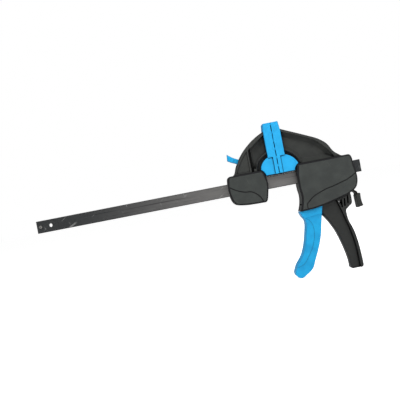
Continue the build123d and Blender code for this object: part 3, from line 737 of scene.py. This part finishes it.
def one_screw(low, high):
    """A pan-head screw along Y with its head's top at high and its tip at low."""
    head = only(round_bar(HEAD_R, high - HEAD_THICK, high))
    bpy.ops.object.mode_set(mode="EDIT")
    bpy.context.tool_settings.mesh_select_mode = (False, False, True)
    bpy.ops.mesh.select_all(action="DESELECT")
    bpy.ops.object.mode_set(mode="OBJECT")
    for face in head.data.polygons:
        face.select = face.normal.y > SIDEWAYS
    bpy.ops.object.mode_set(mode="EDIT")
    bpy.ops.mesh.bevel(offset=DOME, segments=DOME_SEGMENTS, affect="EDGES")
    bpy.ops.object.mode_set(mode="OBJECT")
    for wide, long in ((CROSS_WIDE, CROSS_LONG), (CROSS_LONG, CROSS_WIDE)):
        bpy.ops.object.select_all(action="DESELECT")
        bpy.ops.mesh.primitive_cube_add(size=1, location=(0, high, 0), scale=(wide, 2 * CROSS_DEEP, long))
        bpy.ops.object.transform_apply(location=True, rotation=True, scale=True)
        cutter = bpy.context.object
        apply_modifier(head, "BOOLEAN", object=cutter, operation="DIFFERENCE")
        bpy.data.objects.remove(cutter)
    shank = round_bar(SHANK_R, low, high - HEAD_THICK + DOME / 2)
    only(head)
    shank.select_set(True)
    bpy.ops.object.join()
    bpy.ops.object.shade_smooth_by_angle(angle=SMOOTH)
    return head


print("screw head:", round(2 * HEAD_R / MM, 1), "mm across, recess", round(CROSS_DEEP / MM, 1), "mm deep")


# %% [markdown]
# ### A screw in every place
# The CAD node of each housing's screws tells their places and length. The points on the heads' tops
# fall into one cluster for each screw, and the middle of a cluster is the screw's middle line. One
# screw is modelled for each housing, at X = Z = 0, and a copy of it is moved to each place.

# %% Copies of the screw, joined into one piece for each housing
TOP_SLACK = 0.01 * MM  # how far under the highest point a point still counts as on a head's top
CLUSTER = 2.5 * HEAD_R  # more than a head is across, and less than the gap between two


def screw_places(spots, high):
    """X and Z of the middle of each head's top."""
    tops = [spot for spot in spots if spot.y > high - TOP_SLACK]
    places = []
    for spot in tops:
        near = [other for other in tops if (other - spot).length < CLUSTER]
        middle = (sum(other.x for other in near) / len(near), sum(other.z for other in near) / len(near))
        if all(math.dist(middle, known) > HEAD_R for known in places):
            places.append(middle)
    return places


def set_screws(name):
    """Screws on the middle lines of the node's solids, which they stand for."""
    source = frame["nodes"][name]
    spots = [vertex.co for vertex in source.data.vertices]
    low, high = min(spot.y for spot in spots), max(spot.y for spot in spots)
    places = screw_places(spots, high)
    model = one_screw(low, high)
    screws = []
    for x, z in places:
        screw = bpy.data.objects.new(name + "_cross_head", model.data.copy())
        bpy.context.scene.collection.objects.link(screw)
        screw.data.transform(Matrix.Translation((x, 0, z)))
        screws.append(screw)
    bpy.data.objects.remove(model)
    whole = only(screws[0])
    for screw in screws:
        screw.select_set(True)
    bpy.ops.object.join()
    whole.data.materials.clear()
    whole.data.materials.append(SCREW_STEEL)
    attach(whole, source["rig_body"], NODE_SLOTS[name], name)
    print("screws at", [(round(x / MM, 1), round(z / MM, 1)) for x, z in places])


set_screws("body_cover_screws")
set_screws("jaw_cover_screws")


# %% [markdown]
# ## The floor
# The clamp stands on a plain pale floor in a white studio. A wide disc just under the clamp is
# enough. Lamps bright enough to whiten it would bleach the clamp, so it glows a little, and for the
# camera alone, which adds no light to the clamp.

# %% Floor
FLOOR_GAP, FLOOR_R, FLOOR_SIDES = 0.2 * MM, 60.0, 128
FLOOR_PALE, FLOOR_GLOW = (0.9, 0.9, 0.9), 0.75
FLOOR_Z = CAD_BOX[0].z - FLOOR_GAP


def plain(name, colour, glow):
    """A matt finish of one colour that glows by this much for the camera, and for nothing else."""
    material, tree, shader = new_finish(name, Roughness=0.9)
    shader["Base Color"].default_value = (*colour, 1.0)
    shader["Emission Color"].default_value = (1.0, 1.0, 1.0, 1.0)
    seen = node(tree, "LightPath").outputs["Is Camera Ray"]
    tree.links.new(times(tree, seen, glow), shader["Emission Strength"])
    return material


bpy.ops.object.select_all(action="DESELECT")
bpy.ops.mesh.primitive_circle_add(vertices=FLOOR_SIDES, radius=FLOOR_R, fill_type="NGON",
                                  location=(0, 0, FLOOR_Z))
floor = bpy.context.object
floor.name = "floor"
floor.data.materials.append(plain("studio floor", FLOOR_PALE, FLOOR_GLOW))
print("floor at", round(FLOOR_Z, 4))


# %% [markdown]
# ## Light
# A broad lamp high on the left models the dishes of the arms, a second on the right keeps the
# handle's side from going flat, and a third behind serves the clamp's far side. Soft square lamps
# are used, because small ones would leave hard glints. The world is white to the camera and fills in
# from all round, but much more weakly, or the black plastic would turn grey.

# %% World and lamps
WORLD_FILL, WORLD_SEEN = 0.27, 1.0  # the world's strength on the clamp, and to the camera
bpy.context.scene.view_settings.view_transform = "Standard"
world = bpy.data.worlds.new("white studio")
bpy.context.scene.world = world
world.use_nodes = True
background = world.node_tree.nodes["Background"].inputs
background["Color"].default_value = (1.0, 1.0, 1.0, 1.0)
seen = node(world.node_tree, "LightPath").outputs["Is Camera Ray"]
world.node_tree.links.new(blend_numbers(world.node_tree, seen, WORLD_FILL, WORLD_SEEN),
                          background["Strength"])


def lamp(name, place, target, size, power):
    """A square soft light at a place, turned to its target."""
    light = bpy.data.lights.new(name, "AREA")
    light.shape = "SQUARE"
    light.size = size
    light.energy = power
    obj = bpy.data.objects.new(name, light)
    bpy.context.scene.collection.objects.link(obj)
    obj.location = place
    obj.rotation_euler = (Vector(target) - Vector(place)).to_track_quat("-Z", "Y").to_euler()
    print(name, "at", place, "with", power, "W")


lamp("key light", (-0.7, -1.0, 1.3), target=(0.03, 0, 0), size=0.9, power=26)
lamp("side light", (1.2, -0.9, 0.5), target=(0.05, 0, 0), size=0.9, power=10)
lamp("back light", (0.3, 1.3, 1.2), target=(0.0, 0, 0), size=1.0, power=9)


# %% [markdown]
# ## Camera
# The camera looks level along +Y from just over a metre, which keeps the perspective mild. It is
# rolled by eleven degrees, so that the bar runs slanting across the picture. Its place and turn are
# set as one matrix, from the directions that are right and up in the picture.

# %% Camera
CAMERA_AT, ROLL = Vector((-0.13415, -1.100, -0.006)), math.radians(11)
LENS_MM, SENSOR_MM = 60.7, 36
NEAREST, FARTHEST = 0.02, 200
right = Vector((math.cos(ROLL), 0, -math.sin(ROLL)))
up = Vector((math.sin(ROLL), 0, math.cos(ROLL)))
lens = bpy.data.cameras.new("camera")
lens.lens = LENS_MM
lens.sensor_width = SENSOR_MM
lens.clip_start = NEAREST
lens.clip_end = FARTHEST
camera = bpy.data.objects.new("camera", lens)
bpy.context.scene.collection.objects.link(camera)
turn = Matrix((right, up, right.cross(up))).transposed().to_4x4()
camera.matrix_world = Matrix.Translation(CAMERA_AT) @ turn
bpy.context.scene.camera = camera
print("camera at", [round(value, 3) for value in CAMERA_AT], "with a lens of", LENS_MM, "mm")
